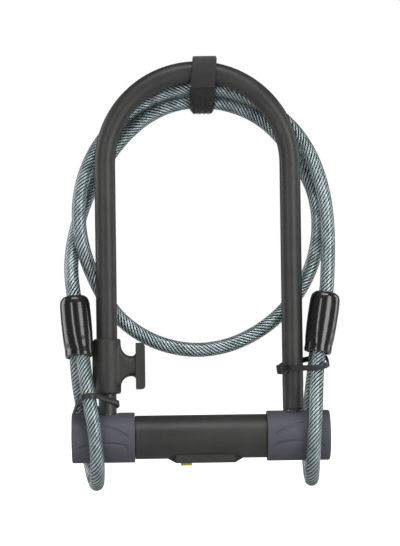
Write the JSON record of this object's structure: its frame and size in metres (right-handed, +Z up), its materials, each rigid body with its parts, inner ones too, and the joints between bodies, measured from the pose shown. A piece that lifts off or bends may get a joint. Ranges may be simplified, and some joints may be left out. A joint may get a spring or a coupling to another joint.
{
  "type": "u lock",
  "caption": "U lock with a bent shackle that slides into a deadbolt crossbar, a coiled loop cable held under a strap, and a clamp-on carrier bracket.",
  "frame": {"origin": "middle of the crossbar's axis, halfway between the two legs", "axes": "+X along the crossbar to the right, +Z up the legs towards the arch, front towards -Y"},
  "size_m": [0.1959, 0.0587, 0.2996],
  "materials": {
    "black_vinyl": "satin soft vinyl skin",
    "hard_steel": "plated hardened steel",
    "cap_plastic": "matte slate grey elastomer",
    "black_plastic": "satin black moulding",
    "boot_vinyl": "glossy dipped vinyl",
    "clear_jacket": "clear grey-green vinyl",
    "wire_rope": "stranded galvanised wire",
    "zinc": "die-cast zinc",
    "brass": "machined",
    "yellow": "golden yellow moulding",
    "webbing": "woven hook and loop",
    "nylon": "black nylon",
    "seal_rubber": "soft black rubber",
    "blackened": "black oxide"
  },
  "bodies": {
    "crossbar": {"crossbar_tube": "hard_steel", "crossbar_sleeve": "black_vinyl", "end_cap_left": "cap_plastic", "end_cap_right": "cap_plastic", "end_block_left": "zinc", "end_block_right": "zinc", "end_block_pins": "hard_steel", "leg_seal_left": "seal_rubber", "leg_seal_right": "seal_rubber", "bolt_guide_left": "black_plastic", "bolt_guide_right": "black_plastic", "cylinder_housing": "brass", "cylinder_pin": "hard_steel", "keyway_shroud": "black_plastic", "shroud_screws": "blackened", "shutter_guide": "black_plastic", "eye_left_rope": "wire_rope", "eye_left_jacket": "clear_jacket", "eye_right_rope": "wire_rope", "eye_right_jacket": "clear_jacket", "ferrule_left": "hard_steel", "ferrule_right": "hard_steel", "boot_left": "boot_vinyl", "boot_right": "boot_vinyl", "cable_tie_left": "nylon", "cable_tie_right": "nylon"},
    "shackle": {"shackle_bar": "hard_steel", "shackle_coating": "black_vinyl", "bracket_liner": "seal_rubber", "bracket_front": "black_plastic", "bracket_rear": "black_plastic", "bracket_screws": "blackened", "hook_strap": "webbing", "coil_rope": "wire_rope", "coil_jacket": "clear_jacket"},
    "plug": {"cylinder_core": "brass", "drill_guard": "hard_steel", "detainer_discs": "brass", "disc_spacers": "hard_steel", "sidebar": "hard_steel", "bolt_cam": "hard_steel", "cam_pins": "hard_steel", "cam_screw": "blackened"},
    "bolt_right": {"deadbolt_right": "hard_steel"},
    "bolt_left": {"deadbolt_left": "hard_steel"},
    "cover": {"dust_cover": "yellow"}
  },
  "joints": [
    {"name": "shackle_slide", "type": "slide", "parent": "crossbar", "child": "shackle", "axis": [0, 0, 1], "range_m": [0, 0.045], "deforming": ["coil_rope", "coil_jacket"]},
    {"name": "plug_turn", "type": "hinge", "parent": "crossbar", "child": "plug", "pos_m": [0, 0, 0], "axis": [0, 0, -1], "range_deg": [0, 90]},
    {"name": "right_bolt_throw", "type": "slide", "parent": "crossbar", "child": "bolt_right", "axis": [1, 0, 0], "range_m": [0, 0.0071]},
    {"name": "left_bolt_throw", "type": "slide", "parent": "crossbar", "child": "bolt_left", "axis": [-1, 0, 0], "range_m": [0, 0.0071]},
    {"name": "dust_cover_slide", "type": "slide", "parent": "crossbar", "child": "cover", "axis": [1, 0, 0], "range_m": [0, 0.0188]}
  ],
  "couplings": [
    {"joint": "right_bolt_throw", "follows": "plug_turn", "m_per_rad": 0.0045016},
    {"joint": "left_bolt_throw", "follows": "plug_turn", "m_per_rad": 0.0045016}
  ]
}
